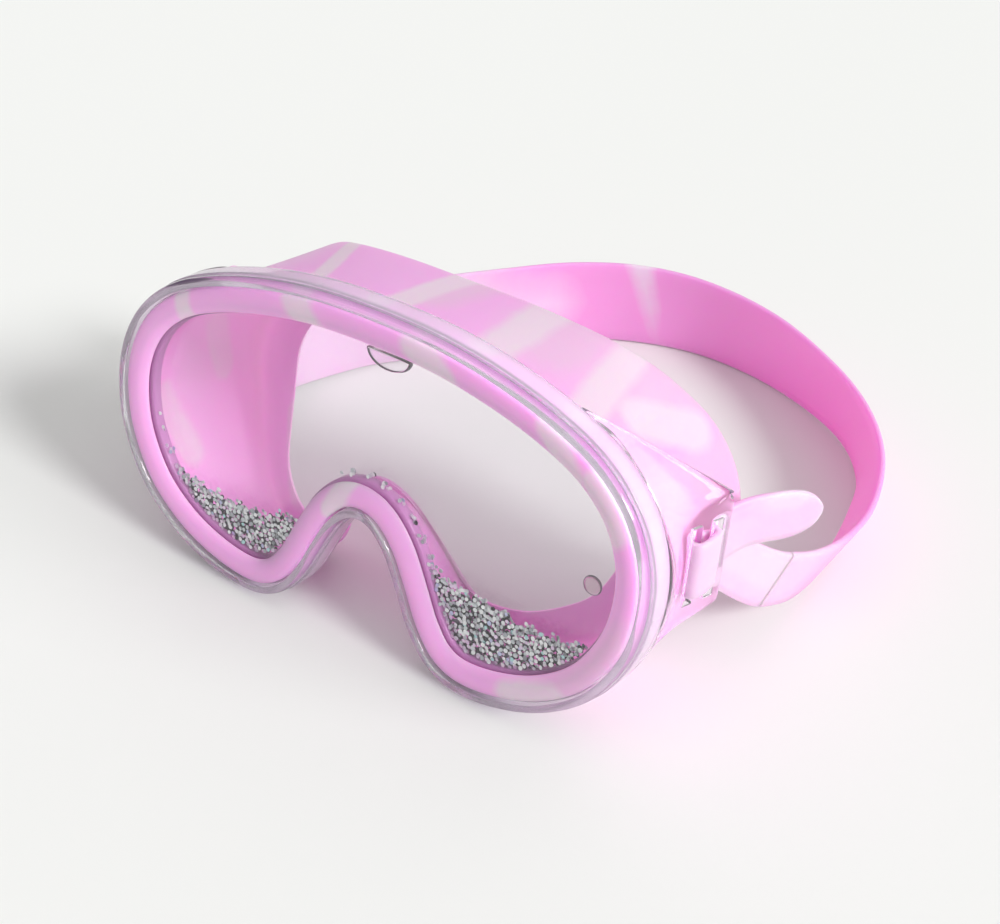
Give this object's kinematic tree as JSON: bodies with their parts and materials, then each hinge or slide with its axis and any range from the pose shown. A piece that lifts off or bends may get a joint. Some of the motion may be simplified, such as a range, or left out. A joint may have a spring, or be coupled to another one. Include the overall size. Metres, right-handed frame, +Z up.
{
  "type": "swim goggles",
  "caption": "Wide one-lens swim goggles: clear frame with slotted wings, sealed double lens with loose glitter, soft marbled skirt with a nose notch and a soft head strap threaded at both sides",
  "frame": {"origin": "middle of the whole object's footprint, on the surface it stands on", "axes": "+X towards the wearer's left as seen from behind the lens, which is the right of the picture; +Y from the lens towards the back of the strap; +Z up. The mask leans back 9.7 degrees, as it stands."},
  "size_m": [0.1864, 0.1681, 0.0906],
  "materials": {
    "clear_frame": "polished clear plastic with a faint lilac tint",
    "lens": "polished clear plastic",
    "spacer": "glossy magenta band between the panes",
    "plug": "small clear pink-tinted plug",
    "glitter": "loose round silver and iridescent film flakes",
    "skirt_silicone": "satin translucent silicone, pink marbled with white and lilac",
    "strap_silicone": "satin silicone, pink marbled with white"
  },
  "bodies": {
    "mask": {"front_bezel": "clear_frame", "rear_frame": "clear_frame", "front_lens": "lens", "back_lens": "lens", "lens_spacer": "spacer", "fill_plug": "plug", "glitter": "glitter", "skirt": "skirt_silicone", "strap_loop_right": "strap_silicone", "strap_loop_left": "strap_silicone"},
    "strap_ends": {"strap_run_right": "strap_silicone", "strap_run_left": "strap_silicone"},
    "head_band": {"head_strap": "strap_silicone"},
    "tail_right": {"strap_tail_right": "strap_silicone"},
    "tail_left": {"strap_tail_left": "strap_silicone"}
  },
  "joints": [
    {"name": "strap_adjust", "type": "slide", "parent": "mask", "child": "strap_ends", "axis": [0, -0.9857, 0.1685], "range_m": [0, 0.012], "deforming": ["strap_run_right", "strap_run_left"]},
    {"name": "strap_lift", "type": "hinge", "parent": "strap_ends", "child": "head_band", "pos_m": [0, -0.0189, 0.0188], "axis": [1, 0, 0], "range_deg": [0, 25]},
    {"name": "tail_right_slide", "type": "slide", "parent": "mask", "child": "tail_right", "axis": [0.2079, 0.9642, -0.1648], "range_m": [0, 0.012]},
    {"name": "tail_left_slide", "type": "slide", "parent": "mask", "child": "tail_left", "axis": [-0.2079, 0.9642, -0.1648], "range_m": [0, 0.012]}
  ],
  "couplings": [
    {"joint": "tail_right_slide", "follows": "strap_adjust", "ratio": 1},
    {"joint": "tail_left_slide", "follows": "strap_adjust", "ratio": 1}
  ]
}
